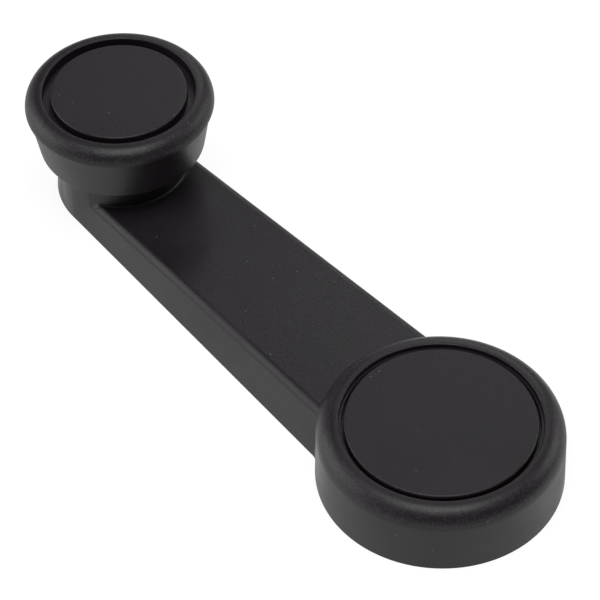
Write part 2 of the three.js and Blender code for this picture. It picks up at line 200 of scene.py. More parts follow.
def add_object(name, bm):
    mesh = bpy.data.meshes.new(name)
    bm.to_mesh(mesh)
    bm.free()
    made = bpy.data.objects.new(name, mesh)
    bpy.context.scene.collection.objects.link(made)
    return made


floor_mesh = bmesh.new()
floor_place = Matrix.Translation((0, 0, -FLOOR_DROP * MM))
bmesh.ops.create_grid(
    floor_mesh, x_segments=1, y_segments=1, size=FLOOR_SIZE / 2, matrix=floor_place
)
floor = add_object("table", floor_mesh)
floor.data.materials.append(white_table)
print("the table is", FLOOR_SIZE, "m wide")

# %% Light the room
WORLD_LEVEL = 0.10
WHITE = (1.0, 1.0, 1.0)

world = bpy.data.worlds.new("studio")
bpy.context.scene.world = world
world.use_nodes = True
background = world.node_tree.nodes["Background"]
camera_ray = node(world.node_tree, "ShaderNodeLightPath").outputs["Is Camera Ray"]
world_strength = ranged(world.node_tree, camera_ray, 0.0, 1.0, WORLD_LEVEL, 1.0)
plug(world.node_tree, world_strength, background.inputs["Strength"])
plug(world.node_tree, WHITE, background.inputs["Color"])
bpy.context.scene.view_settings.view_transform = "Standard"
print("the room lights the handle at", WORLD_LEVEL, "and is white to the camera")

# %% [markdown]
# ## The lamps
# The photograph shows what the plastic mirrors. The flat tops are an even dark grey, a little
# lighter on the far side, so one lamp stands low behind the handle. The rims carry a soft band of
# light where they face upwards, so another lamp hangs almost overhead. Their two sides are lighter
# than their front, so two large lamps stand on the left and on the right. All four are soft, as in
# a light tent. A bright room alone would be simpler, but it would make every side equally pale.

# %% Hang the lamps
def area_lamp(name, azimuth, elevation, distance, size, power):
    data = bpy.data.lights.new(name, "AREA")
    data.shape = "SQUARE"
    data.size = size
    data.energy = power
    lamp = bpy.data.objects.new(name, data)
    bpy.context.scene.collection.objects.link(lamp)
    place = AIM + direction(math.radians(azimuth), math.radians(elevation)) * distance
    lamp.matrix_world = look_at(place, AIM)
    return lamp


lamps = [
    area_lamp("top lamp", azimuth=232, elevation=78, distance=0.8, size=0.42, power=3.9),
    area_lamp("back lamp", azimuth=41, elevation=33, distance=1.6, size=0.6, power=3.5),
    area_lamp("left lamp", azimuth=132, elevation=21, distance=1.2, size=1.1, power=9.1),
    area_lamp("right lamp", azimuth=345, elevation=25, distance=1.2, size=0.7, power=3.8),
]
print("the lamps are the", ", ".join(lamp.name for lamp in lamps))

# %% [markdown]
# ## Grain of the moulding
# The steel mould was eroded to a fine, even grain that breaks up the highlights. A picture of a
# grain could be wrapped round the pieces, but a noise in space needs no unwrapping and has no
# seams. Two noises make it: the fine one is the grain itself, and the coarse one makes the gloss
# drift a little, as plastic does where hands have rubbed it.

# %% Helpers for node groups
def new_group(name, inputs, outputs):
    group = bpy.data.node_groups.new(name, "ShaderNodeTree")
    for label, kind, value in inputs:
        socket = group.interface.new_socket(label, in_out="INPUT", socket_type=kind)
        if value is not None:
            socket.default_value = value
    for label in outputs:
        group.interface.new_socket(label, in_out="OUTPUT", socket_type="NodeSocketFloat")
    given = group.nodes.new("NodeGroupInput").outputs
    result = group.nodes.new("NodeGroupOutput").inputs
    return group, given, result


def noise(tree, place, scale, detail):
    made = node(tree, "ShaderNodeTexNoise")
    for name, value in (("Vector", place), ("Scale", scale), ("Detail", detail)):
        plug(tree, value, made.inputs[name])
    return made.outputs["Fac"]


# %% Make the grain group
GRAIN_DETAIL = 2.0
RUB_DETAIL = 3.0
RUB_RANGE = (0.3, 0.7)


def make_grain_group():
    inputs = [
        ("Place", "NodeSocketVector", None),
        ("Grain Scale", "NodeSocketFloat", 3800.0),
        ("Rub Scale", "NodeSocketFloat", 70.0),
    ]
    group, given, result = new_group("moulded grain", inputs, ["Height", "Rub"])
    fine = noise(group, given["Place"], given["Grain Scale"], GRAIN_DETAIL)
    rub = noise(group, given["Place"], given["Rub Scale"], RUB_DETAIL)
    plug(group, fine, result["Height"])
    plug(group, ranged(group, rub, *RUB_RANGE), result["Rub"])
    return group


grain_group = make_grain_group()
print("the grain group has", len(grain_group.nodes), "nodes")

# %% [markdown]
# ## Dust
# A few pale specks lie on the black plastic. Painting them one by one would be slow. Instead a
# Voronoi texture divides space into cells, and a speck shows only near the middle of a cell, in
# the few cells whose random colour is bright enough.

# %% Make the dust group
SPECK_EDGE = (0.05, 0.12)


def make_dust_group():
    inputs = [
        ("Place", "NodeSocketVector", None),
        ("Cell Scale", "NodeSocketFloat", 620.0),
        ("Rarity", "NodeSocketFloat", 0.93),
    ]
    group, given, result = new_group("dust specks", inputs, ["Mask"])
    cells = node(group, "ShaderNodeTexVoronoi")
    plug(group, given["Place"], cells.inputs["Vector"])
    plug(group, given["Cell Scale"], cells.inputs["Scale"])
    parts = node(group, "ShaderNodeSeparateColor")
    plug(group, cells.outputs["Color"], parts.inputs["Color"])
    chosen = math_node(group, "GREATER_THAN", parts.outputs["Red"], given["Rarity"])
    near = ranged(group, cells.outputs["Distance"], *SPECK_EDGE, 1.0, 0.0)
    plug(group, math_node(group, "MULTIPLY", near, chosen), result["Mask"])
    return group


dust_group = make_dust_group()
print("the dust group has", len(dust_group.nodes), "nodes")

# %% [markdown]
# ## Scuffs
# Hands and sleeves have rubbed the rounded edges, which look a little paler and speckled. The
# scuffs could follow the curvature of the surface, which only some renderers can measure. Here
# each moulding carries a value called wear at its points, 1 on a rounded edge and 0 elsewhere, and
# a fine noise breaks it up into specks.

# %% Make the scuff group
SCUFF_DETAIL = 3.0
SCUFF_RANGE = (0.45, 0.65)


def make_scuff_group():
    inputs = [
        ("Place", "NodeSocketVector", None),
        ("Wear", "NodeSocketFloat", 0.0),
        ("Speck Scale", "NodeSocketFloat", 2500.0),
    ]
    group, given, result = new_group("edge scuffs", inputs, ["Mask"])
    fine = noise(group, given["Place"], given["Speck Scale"], SCUFF_DETAIL)
    specks = ranged(group, fine, *SCUFF_RANGE)
    plug(group, math_node(group, "MULTIPLY", specks, given["Wear"]), result["Mask"])
    return group


scuff_group = make_scuff_group()
print("the scuff group has", len(scuff_group.nodes), "nodes")

# %% [markdown]
# ## Black plastic
# The plastic is nearly black. What the eye reads as its colour is mostly the pale room mirrored
# in a satin surface, so the base colour stays very dark, and the roughness and grain do the work.
# One function makes all three black plastics, because they differ only in their numbers: the caps
# come from a finer mould than the arm and the knob.

# %% Helpers for materials
GRAIN_STRENGTH = 0.55


def placed_group(tree, group, place, **values):
    made = node(tree, "ShaderNodeGroup", node_tree=group)
    plug(tree, place, made.inputs["Place"])
    for name, value in values.items():
        plug(tree, value, made.inputs[name.replace("_", " ")])
    return made.outputs


def new_material(name):
    material = bpy.data.materials.new(name)
    material.use_nodes = True
    tree = material.node_tree
    place = node(tree, "ShaderNodeTexCoord").outputs["Object"]
    return material, tree, tree.nodes["Principled BSDF"].inputs, place


def add_grain(tree, height, depth, shader):
    bump = node(tree, "ShaderNodeBump")
    plug(tree, GRAIN_STRENGTH, bump.inputs["Strength"])
    plug(tree, depth * MM, bump.inputs["Distance"])
    plug(tree, height, bump.inputs["Height"])
    plug(tree, bump.outputs["Normal"], shader["Normal"])


# %% Make the black plastics
PLASTIC_DARK = (0.0085, 0.0062, 0.0085)
PLASTIC_LIGHT = (0.0125, 0.0094, 0.0125)
PLASTIC_IOR = 1.41
SCUFF_COLOUR = (0.026, 0.023, 0.0255)
DUST_COLOUR = (0.10, 0.10, 0.097)


def black_plastic(name, grain_scale, grain_depth, smooth, rough):
    material, tree, shader, place = new_material(name)
    grain = placed_group(tree, grain_group, place, Grain_Scale=grain_scale)
    dust = placed_group(tree, dust_group, place)
    wear = node(tree, "ShaderNodeAttribute", attribute_name="wear").outputs["Fac"]
    scuffs = placed_group(tree, scuff_group, place, Wear=wear)
    plastic = mixed(tree, grain["Rub"], PLASTIC_DARK, PLASTIC_LIGHT)
    plastic = mixed(tree, scuffs["Mask"], plastic, SCUFF_COLOUR)
    plug(tree, mixed(tree, dust["Mask"], plastic, DUST_COLOUR), shader["Base Color"])
    plug(tree, ranged(tree, grain["Rub"], 0.0, 1.0, smooth, rough), shader["Roughness"])
    plug(tree, PLASTIC_IOR, shader["IOR"])
    add_grain(tree, grain["Height"], grain_depth, shader)
    return material


arm_plastic = black_plastic(
    "arm plastic", grain_scale=3800.0, grain_depth=0.06, smooth=0.36, rough=0.48
)
knob_plastic = black_plastic(
    "knob plastic", grain_scale=3400.0, grain_depth=0.09, smooth=0.38, rough=0.50
)
cap_plastic = black_plastic(
    "cap plastic", grain_scale=4400.0, grain_depth=0.055, smooth=0.40, rough=0.52
)
print("plastics:", arm_plastic.name, knob_plastic.name, cap_plastic.name)

# %% [markdown]
# ## Metal and nylon
# The pin, the insert, the screw and the flat washers are zinc-plated steel, the clip and the wave
# washer are dark spring steel, and the bush is natural nylon. The gloss of a metal varies a little
# with its plating, which the rub of the grain group gives, and its grain is only a trace.

# %% Make the metals and the nylon
METAL_RUB_SCALE = 300.0
METAL_SHADE = 0.82
METAL_GRAIN = 0.012
NYLON_DARK = (0.62, 0.60, 0.53)
NYLON_LIGHT = (0.70, 0.68, 0.61)
NYLON_ROUGHNESS = 0.45
NYLON_GRAIN = 0.01


def metal(name, colour, smooth, rough):
    material, tree, shader, place = new_material(name)
    grain = placed_group(tree, grain_group, place, Rub_Scale=METAL_RUB_SCALE)
    shade = tuple(METAL_SHADE * channel for channel in colour)
    plug(tree, mixed(tree, grain["Rub"], shade, colour), shader["Base Color"])
    plug(tree, ranged(tree, grain["Rub"], 0.0, 1.0, smooth, rough), shader["Roughness"])
    plug(tree, 1.0, shader["Metallic"])
    add_grain(tree, grain["Height"], METAL_GRAIN, shader)
    return material


def nylon_material():
    material, tree, shader, place = new_material("natural nylon")
    grain = placed_group(tree, grain_group, place)
    plug(tree, mixed(tree, grain["Rub"], NYLON_DARK, NYLON_LIGHT), shader["Base Color"])
    plug(tree, NYLON_ROUGHNESS, shader["Roughness"])
    add_grain(tree, grain["Height"], NYLON_GRAIN, shader)
    return material


zinc = metal("zinc plated steel", colour=(0.62, 0.62, 0.63), smooth=0.24, rough=0.38)
spring = metal("spring steel", colour=(0.26, 0.26, 0.28), smooth=0.30, rough=0.42)
nylon = nylon_material()
print("inside:", zinc.name, spring.name, nylon.name)

# %% [markdown]
# ## Where the axes and heights are
# Both axes stand upright, and the caps are centred on them, so the boxes of the caps give their
# places. Heights and radii are read from the boxes of the pieces too. From here on sizes are in
# millimetres, and they become metres when a mesh is made. Three small lengths are used
# throughout: the gap between neighbours, how far a shape that cuts overruns a face, and how far a
# joined block reaches into its neighbour.

# %% Read the frame
def box_of(name):
    low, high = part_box(name)
    return low / MM, high / MM


def axis_of(name):
    low, high = box_of(name)
    return (low.x + high.x) / 2


def radius_of(name):
    low, high = box_of(name)
    return (high.y - low.y) / 2


def top_of(name):
    return box_of(name)[1].z


def foot_of(name):
    return box_of(name)[0].z


HUB_X = axis_of("hub_cap")
KNOB_X = axis_of("knob_cap")
REACH = KNOB_X - HUB_X
GAP = 0.3
OVERRUN = 2.0
JOIN = 0.5
print(f"hub axis at {HUB_X:.2f}, knob axis at {KNOB_X:.2f}, reach {REACH:.2f} mm")

# %% [markdown]
# ## Turned shapes
# Most of this handle is round, so most pieces start as half of their section, drawn beside the
# axis. A spin turns it into a solid, as a lathe does. A rounded edge is an arc of points in the
# section, which gives an exact radius and needs no bevel afterwards.

# %% Turn a section round an upright axis
RING_STEPS = 128
ROUND_STEPS = 8
MERGE = 0.001


def arc(centre_r, centre_z, across, up, start, end, steps=ROUND_STEPS):
    """Points of an arc in a section. Angle 0 points away from the axis, and 90 points up."""
    angles = [math.radians(start + (end - start) * i / steps) for i in range(steps + 1)]
    return [(centre_r + across * math.cos(a), centre_z + up * math.sin(a)) for a in angles]


def turned(name, section, x, closed=False, steps=RING_STEPS):
    """Spins a section of (radius, height) points. An open one starts and ends on the axis."""
    bm = bmesh.new()
    verts = [bm.verts.new(((x + r) * MM, 0, z * MM)) for r, z in section]
    edges = [bm.edges.new(pair) for pair in zip(verts, verts[1:])]
    if closed:
        edges.append(bm.edges.new((verts[-1], verts[0])))
    bmesh.ops.spin(
        bm, geom=verts + edges, cent=(x * MM, 0, 0), axis=(0, 0, 1), angle=2 * math.pi,
        steps=steps, use_merge=True, use_duplicate=False,
    )
    bmesh.ops.remove_doubles(bm, verts=bm.verts, dist=MERGE * MM)
    bmesh.ops.recalc_face_normals(bm, faces=bm.faces)
    return add_object(name, bm)


# %% [markdown]
# ## Blocks, joins and cuts
# Ribs, legs and slots are plain blocks that stand round an axis. A moulding is one solid, so the
# blocks are joined to the turned shapes or cut from them with an exact boolean, and its result
# becomes the new mesh of the piece. A bevel takes off only the edges that a test chooses.

# %% Set blocks round an axis
def star(name, x, count, start, radii, width, heights):
    """Blocks round an upright axis, each reaching from one radius to another."""
    bm = bmesh.new()
    size = Vector((radii[1] - radii[0], width, heights[1] - heights[0])) * MM
    middle = Vector((sum(radii) / 2, 0, sum(heights) / 2)) * MM
    for i in range(count):
        turn = Matrix.Rotation(math.radians(start + i * 360 / count), 4, "Z")
        place = Matrix.Translation((x * MM, 0, 0)) @ turn @ Matrix.Translation(middle)
        bmesh.ops.create_cube(bm, size=1, matrix=place @ Matrix.Diagonal((*size, 1)))
    return add_object(name, bm)


# %% Bevel, join and cut
def bevelled(piece, is_chosen, width, segments):
    """Bevels the edges of a piece that pass a test."""
    bm = bmesh.new()
    bm.from_mesh(piece.data)
    edges = [edge for edge in bm.edges if is_chosen(edge)]
    bmesh.ops.bevel(
        bm, geom=edges, affect="EDGES", offset=width * MM, segments=segments, profile=0.5,
        material=-1,
    )
    bm.to_mesh(piece.data)
    bm.free()
    return piece


def clean(piece):
    """Closes the hair-thin slivers that a cut leaves, so that the next cut finds a sound solid."""
    bm = bmesh.new()
    bm.from_mesh(piece.data)
    bmesh.ops.remove_doubles(bm, verts=bm.verts, dist=MERGE * MM)
    bmesh.ops.dissolve_degenerate(bm, edges=bm.edges, dist=MERGE * MM)
    bm.to_mesh(piece.data)
    bm.free()


def combine(piece, operation, *tools):
    """UNION joins the tools, DIFFERENCE cuts them out, INTERSECT keeps what both fill."""
    for tool in tools:
        modifier = piece.modifiers.new(operation, "BOOLEAN")
        modifier.operation = operation
        modifier.solver = "EXACT"
        modifier.object = tool
        graph = bpy.context.evaluated_depsgraph_get()
        made = bpy.data.meshes.new_from_object(piece.evaluated_get(graph))
        piece.modifiers.clear()
        piece.data = made
        bpy.data.objects.remove(tool)
        clean(piece)
    return piece


# %% [markdown]
# ## Finishing a piece
# Every piece gets smooth shading with crisp edges, and flat faces that stay flat: the weighted
# normals lean towards the large faces. A black moulding is marked where hands rub it. Then the
# imported node that the piece replaces is hidden, the piece rides on its body, and it gets its
# finish.

# %% Shade, name and seat a piece
SHARP_ANGLE = math.radians(35)
WEAR_TILT = (0.2, 0.97)


def mark_wear(piece):
    """Gives the points within rounded upper edges a wear of 1 and all others 0."""
    bm = bmesh.new()
    bm.from_mesh(piece.data)
    low, high = WEAR_TILT
    worn = [all(low < face.normal.z < high for face in vertex.link_faces) for vertex in bm.verts]
    bm.free()
    wear = piece.data.attributes.new("wear", "FLOAT", "POINT")
    wear.data.foreach_set("value", [float(flag) for flag in worn])


def soften(piece):
    mesh = piece.data
    mesh.polygons.foreach_set("use_smooth", [True] * len(mesh.polygons))
    mesh.set_sharp_from_angle(angle=SHARP_ANGLE)
    weighted = piece.modifiers.new("flat faces", "WEIGHTED_NORMAL")
    weighted.keep_sharp = True


def seat(piece, body, node_name, material, slot):
    if slot == "black_plastic":
        mark_wear(piece)
    soften(piece)
    piece.data.materials.clear()
    piece.data.materials.append(material)
    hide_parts(node_name)
    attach(piece, body)
    low, high = Vector(piece.bound_box[0]), Vector(piece.bound_box[6])
    size = [round(side / MM, 2) for side in high - low]
    print(f"{piece.name}: {len(piece.data.polygons)} faces, {size} mm")


# %% [markdown]
# ## The caps
# Each cap is a thin disc whose small rounded edge catches a thin line of light. Legs with hooks
# hold it from below. The disc could be a cylinder with a bevel, but turning it gives the rounded
# edge at once. The legs are blocks that are joined to it.

# %% Hooks for the legs
CAP_THICKNESS = 1.6
CAP_EDGE = 0.4
HUB_LEGS = 4
HUB_LEG_INSET = 3.05
KNOB_LEGS = 3
KNOB_LEG_INSET = 1.45
HOOK_REACH = 0.9


def hooks(x, count, outer, width, foot, height):
    """Hooks on the ends of legs, with their lower outer edge bevelled to a ramp."""
    axis = Vector((x * MM, 0, 0))
    edge_reach = (outer + HOOK_REACH - MERGE) * MM

    def is_ramp(edge):
        middle = (edge.verts[0].co + edge.verts[1].co) / 2
        return middle.z < (foot + MERGE) * MM and (middle - axis).xy.length > edge_reach

    radii = (outer - JOIN, outer + HOOK_REACH)
    ends = star("hooks", x, count, 0, radii, width, (foot, foot + height))
    return bevelled(ends, is_ramp, HOOK_REACH, segments=1)


# %% Model the caps
def cap(name, node_name, leg_count, leg_inset, leg_thickness, leg_width, hook_height):
    x, top, foot = axis_of(node_name), top_of(node_name), foot_of(node_name)
    radius = radius_of(node_name)
    under = top - CAP_THICKNESS
    section = [(0, under), (radius, under)]
    section += arc(radius - CAP_EDGE, top - CAP_EDGE, CAP_EDGE, CAP_EDGE, 0, 90)
    section.append((0, top))
    piece = turned(name, section, x)
    outer = radius - leg_inset
    heights = (foot, under + CAP_THICKNESS / 2)
    legs = star("legs", x, leg_count, 0, (outer - leg_thickness, outer), leg_width, heights)
    ends = hooks(x, leg_count, outer, leg_width, foot, hook_height)
    return combine(piece, "UNION", legs, ends)


hub_cap = cap(
    "hub_cap_disc", "hub_cap", HUB_LEGS, HUB_LEG_INSET,
    leg_thickness=1.2, leg_width=5.0, hook_height=1.3,
)
seat(hub_cap, "arm", "hub_cap", cap_plastic, "black_plastic")
knob_cap = cap(
    "knob_cap_disc", "knob_cap", KNOB_LEGS, KNOB_LEG_INSET,
    leg_thickness=1.1, leg_width=4.0, hook_height=1.0,
)
seat(knob_cap, "knob", "knob_cap", cap_plastic, "black_plastic")

# %% [markdown]
# ## The knob
# The knob is a cup. Its rim is nearly a quarter circle from the groove round the cap down to a
# small lip, and the drum below narrows towards its foot. Inside are a ledge for the cap, a tube for
# the bush, and ribs. All but the ribs is one closed section, so the inside and the outside are
# turned in one go and the wall has its real thickness everywhere.

# %% Sizes of the knob
KNOB_RIM = radius_of("knob_body")
KNOB_TOP = top_of("knob_body")
KNOB_FOOT = foot_of("knob_body")
KNOB_GROOVE = 1.45
KNOB_RECESS = radius_of("knob_cap") + KNOB_GROOVE
KNOB_LEDGE = top_of("knob_cap") - CAP_THICKNESS - GAP
LIP_HEIGHT = 22.5
LIP_EDGE = 0.1
KNOB_ROUND_ACROSS = 2.95
KNOB_ROUND_DOWN = 2.9
GROOVE_EDGE = 0.2
RIM_OVERHANG = 0.5
DRUM_TAPER = 1.5
DRUM_TOP = KNOB_RIM - RIM_OVERHANG
DRUM_FOOT = DRUM_TOP - DRUM_TAPER
DRUM_EDGE = 0.3
KNOB_WALL = 2.0
FLOOR_THICKNESS = 1.8
KNOB_FLOOR = KNOB_FOOT + FLOOR_THICKNESS
LEDGE_WIDTH = 2.6
LEDGE_THICKNESS = 1.3
PIN_BORE = 3.3
BUSH_WALL = 1.3
BUSH_RADIUS = PIN_BORE + BUSH_WALL
FLANGE_WIDTH = 1.4
BUSH_FLANGE = BUSH_RADIUS + FLANGE_WIDTH
FLANGE_THICKNESS = 1.0
TUBE_BORE = BUSH_RADIUS + GAP
TUBE_WALL = 1.8
TUBE_RADIUS = TUBE_BORE + TUBE_WALL
TUBE_HEIGHT = 3.9
TUBE_TOP = KNOB_FLOOR + TUBE_HEIGHT
KNOB_RIBS = 6
KNOB_RIB_THICKNESS = 1.4
KNOB_RIB_HEIGHT = 4.6
KNOB_RIB_TOP = KNOB_FLOOR + KNOB_RIB_HEIGHT
print(f"the knob is {2 * KNOB_RIM:.2f} mm wide and {KNOB_TOP - KNOB_FOOT:.2f} mm high")

# %% Draw the knob's section
def knob_section():
    bush_seat = KNOB_FOOT + FLANGE_THICKNESS + GAP
    ledge_inner = KNOB_RECESS - LEDGE_WIDTH
    ledge_under = KNOB_LEDGE - LEDGE_THICKNESS
    section = [(BUSH_FLANGE + GAP, bush_seat), (BUSH_FLANGE + GAP, KNOB_FOOT)]
    section += arc(DRUM_FOOT - DRUM_EDGE, KNOB_FOOT + DRUM_EDGE, DRUM_EDGE, DRUM_EDGE, -90, 0)
    section.append((DRUM_TOP, LIP_HEIGHT))
    section += arc(KNOB_RIM - LIP_EDGE, LIP_HEIGHT + LIP_EDGE, LIP_EDGE, LIP_EDGE, -90, 0)
    section += arc(
        KNOB_RIM - KNOB_ROUND_ACROSS, KNOB_TOP - KNOB_ROUND_DOWN,
        KNOB_ROUND_ACROSS, KNOB_ROUND_DOWN, 0, 90, 2 * ROUND_STEPS
    )[1:]
    section += arc(
        KNOB_RECESS + GROOVE_EDGE, KNOB_TOP - GROOVE_EDGE, GROOVE_EDGE, GROOVE_EDGE, 90, 180
    )
    section += [(KNOB_RECESS, KNOB_LEDGE), (ledge_inner, KNOB_LEDGE), (ledge_inner, ledge_under)]
    section += [(DRUM_TOP - KNOB_WALL, ledge_under), (DRUM_FOOT - KNOB_WALL, KNOB_FLOOR)]
    section.append((TUBE_RADIUS, KNOB_FLOOR))
    section += [(TUBE_RADIUS, TUBE_TOP), (TUBE_BORE, TUBE_TOP), (TUBE_BORE, bush_seat)]
    return section


print("the knob's section has", len(knob_section()), "points")

# %% Turn the knob and add its ribs
knob = turned("knob_moulding", knob_section(), KNOB_X, closed=True)
knob_rib_radii = (TUBE_RADIUS - JOIN, DRUM_TOP - KNOB_WALL)
knob_rib_heights = (KNOB_FLOOR - JOIN, KNOB_RIB_TOP)
knob_ribs = star(
    "ribs", KNOB_X, KNOB_RIBS, 0, knob_rib_radii, KNOB_RIB_THICKNESS, knob_rib_heights
)
combine(knob, "UNION", knob_ribs)
seat(knob, "knob", "knob_body", knob_plastic, "black_plastic")

# %% [markdown]
# ## The arm's outline
# Seen from above, the arm tapers from the hub to an end that is half of a long ellipse, and a
# fillet on each side runs its edge into the hub. The fillet's circle touches the arm's side and
# the hub's skirt, so its centre lies where a line beside the arm meets a larger circle round the
# hub.

# %% Sizes of the hub and the arm
HUB_GROOVE = 0.9
HUB_RECESS = radius_of("hub_cap") + HUB_GROOVE
HUB_RIM_WIDTH = 3.85
HUB_SHOULDER = HUB_RECESS + HUB_RIM_WIDTH
SKIRT_TAPER = 0.2
HUB_BASE = HUB_SHOULDER + SKIRT_TAPER
HUB_TOP = top_of("arm_shell")
HALF_AT_HUB = 15.4
HALF_AT_KNOB = 12.05
END_LENGTH = 14.6
HEIGHT_AT_HUB = 10.8
HEIGHT_AT_KNOB = 6.6
DRAFT = math.tan(math.radians(9.8))
ARM_EDGE = 1.4
ROOT_FILLET = 2.4
print(f"the hub is {2 * HUB_BASE:.2f} mm wide and {HUB_TOP:.2f} mm high")

# %% Draw the outline
def flat_arc(centre, across, along, start, end, steps):
    """Points of an arc seen from above, with its two radii, and angles in radians."""
    angles = [start + (end - start) * i / steps for i in range(steps + 1)]
    return [centre + Vector((across * math.cos(a), along * math.sin(a))) for a in angles]


def root_fillet():
    """The fillet's centre, and the angles at which it touches the arm's side and the hub."""
    along = Vector((REACH, HALF_AT_KNOB - HALF_AT_HUB)).normalized()
    outwards = Vector((-along.y, along.x))
    beside = Vector((0, HALF_AT_HUB)) + outwards * ROOT_FILLET
    step = beside.dot(along)
    reach = HUB_BASE + ROOT_FILLET
    centre = beside + along * (math.sqrt(step**2 + reach**2 - beside.length_squared) - step)
    side = math.atan2(-outwards.y, -outwards.x)
    hub = math.atan2(-centre.y, -centre.x)
    return Vector((HUB_X, 0)) + centre, side, hub


def arm_outline():
    centre, side, hub = root_fillet()
    mirrored = Vector((centre.x, -centre.y))
    knob_axis = Vector((KNOB_X, 0))
    half_turn = RING_STEPS // 2
    points = [Vector((HUB_X, -HALF_AT_HUB))]
    points += flat_arc(mirrored, ROOT_FILLET, ROOT_FILLET, -hub, -side, ROUND_STEPS)
    points += flat_arc(knob_axis, END_LENGTH, HALF_AT_KNOB, -math.pi / 2, math.pi / 2, half_turn)
    points += flat_arc(centre, ROOT_FILLET, ROOT_FILLET, side, hub, ROUND_STEPS)
    return points + [Vector((HUB_X, HALF_AT_HUB))]


print("the arm's outline has", len(arm_outline()), "points")

# %% [markdown]
# ## The arm's body
# The outline is stood up in layers, like a stack of slightly smaller and smaller cards. Each card
# is drawn in by the draft that lets the arm leave its mould, which fades towards the tip, and the
# last few also follow the rounded top edge. Bridging the cards makes the walls. The same function
# makes the hollow inside, drawn in by the wall and kept below the top plate.

# %% Draw a point of the outline in
def arm_top(x):
    """The height of the arm's flat top, which falls towards the knob."""
    return HEIGHT_AT_HUB + (HEIGHT_AT_KNOB - HEIGHT_AT_HUB) * (x - HUB_X) / REACH


def drawn_in(point, inset, lean, height_at):
    """Moves a point of the outline towards the arm's spine, and lifts it."""
    axis = Vector((min(point.x, KNOB_X), 0))
    spoke = point - axis
    sideways = (spoke.y / spoke.length) ** 2
    spoke.length -= inset + sideways * lean
    flat = axis + spoke
    return Vector((flat.x, flat.y, height_at(flat.x))) * MM


# %% Stand the outline up
def arm_layers(foot, wall, plate, edge):
    outline = arm_outline()
    layers = [[drawn_in(p, wall, DRAFT * foot, lambda x: foot) for p in outline]]
    steps = ROUND_STEPS if edge else 0
    for i in range(steps + 1):
        turn = math.pi / 2 * i / max(steps, 1)
        drop = plate + edge * (1 - math.sin(turn))
        round_in = wall + edge * (1 - math.cos(turn))
        layers.append([
            drawn_in(p, round_in, DRAFT * (arm_top(p.x) - drop), lambda x: arm_top(x) - drop)
            for p in outline
        ])
    return layers


def arm_solid(name, foot=0.0, wall=0.0, plate=0.0, edge=0.0):
    bm = bmesh.new()
    loops = []
    for layer in arm_layers(foot, wall, plate, edge):
        verts = [bm.verts.new(place) for place in layer]
        loops.append([bm.edges.new(pair) for pair in zip(verts, verts[1:] + verts[:1])])
    for lower, upper in zip(loops, loops[1:]):
        bmesh.ops.bridge_loops(bm, edges=lower + upper)
    for loop in (loops[0], loops[-1]):
        bmesh.ops.edgeloop_fill(bm, edges=loop)
    bmesh.ops.recalc_face_normals(bm, faces=bm.faces)
    return add_object(name, bm)


arm = arm_solid("arm_moulding", edge=ARM_EDGE)
print("the arm's body has", len(arm.data.polygons), "faces")

# %% [markdown]
# ## The hub and the boss
# The hub and the boss are turned like the knob and joined to the arm. The hub's rim is nearly a
# quarter circle. A small fillet runs round the foot of the boss and catches a thin line of light.
# It is a turned flare laid in the slope of the arm's top. Only its part within a slightly raised
# copy of the arm is kept, so that it dies out over the rounded edges. What is cut out afterwards
# is turned too: the recess for the cap with a small step under its edge, the pocket below it, and
# the seats of the pin, the bore and the wave washer.

# %% Sizes of the hub's rim and recess, and of the boss
RIM_ACROSS = 3.35
RIM_DOWN = 3.7
LIP_ROUND = 0.2
STEP_WIDTH = 0.45
STEP_DEPTH = 0.9
HUB_LEDGE = top_of("hub_cap") - CAP_THICKNESS - GAP
HUB_LEDGE_DEPTH = 1.0
HUB_LEDGE_WIDTH = 2.55
POCKET_FLOOR = HUB_LEDGE - HUB_LEDGE_DEPTH
POCKET_RADIUS = HUB_RECESS - HUB_LEDGE_WIDTH
HUB_PLATE = 1.8
HUB_CEILING = POCKET_FLOOR - HUB_PLATE
INSERT_TOP = top_of("spline_insert")
INSERT_FLANGE = radius_of("spline_insert")
INSERT_FLANGE_HEIGHT = 1.0
FLANGE_SEAT = INSERT_TOP - INSERT_FLANGE_HEIGHT - GAP
KNOB_CLEARANCE = 0.6
BOSS_TOP = KNOB_FOOT - KNOB_CLEARANCE
BOSS_INSET = 0.4
BOSS_RADIUS = HALF_AT_KNOB - BOSS_INSET
BOSS_EDGE = 0.5
BOSS_FILLET = 0.7
FILLET_LIFT = 0.03
PIN_HEAD = radius_of("knob_pin")
PIN_SEAT = 2.7
WAVE_RADIUS = radius_of("wave_washer")
WAVE_SEAT_DEPTH = 1.2
WAVE_SEAT = BOSS_TOP - WAVE_SEAT_DEPTH
print(f"the boss is {2 * BOSS_RADIUS:.2f} mm wide and ends {BOSS_TOP:.2f} mm up")

# %% Draw the sections of the hub and the boss
def hub_section():
    section = [(0, 0), (HUB_BASE, 0)]
    centre = (HUB_SHOULDER - RIM_ACROSS, HUB_TOP - RIM_DOWN)
    section += arc(*centre, RIM_ACROSS, RIM_DOWN, 0, 90, 2 * ROUND_STEPS)
    return section + [(0, HUB_TOP)]


def hub_recess_section():
    above = HUB_TOP + OVERRUN
    section = [(0, FLANGE_SEAT), (INSERT_FLANGE + GAP, FLANGE_SEAT)]
    section += [(INSERT_FLANGE + GAP, POCKET_FLOOR), (POCKET_RADIUS, POCKET_FLOOR)]
    step = HUB_RECESS - STEP_WIDTH
    section += [(POCKET_RADIUS, HUB_LEDGE), (step, HUB_LEDGE)]
    section += [(step, HUB_TOP - STEP_DEPTH), (HUB_RECESS, HUB_TOP - STEP_DEPTH)]
    section += arc(HUB_RECESS + LIP_ROUND, HUB_TOP - LIP_ROUND, LIP_ROUND, LIP_ROUND, 180, 90)
    return section + [(HUB_RECESS + LIP_ROUND, above), (0, above)]


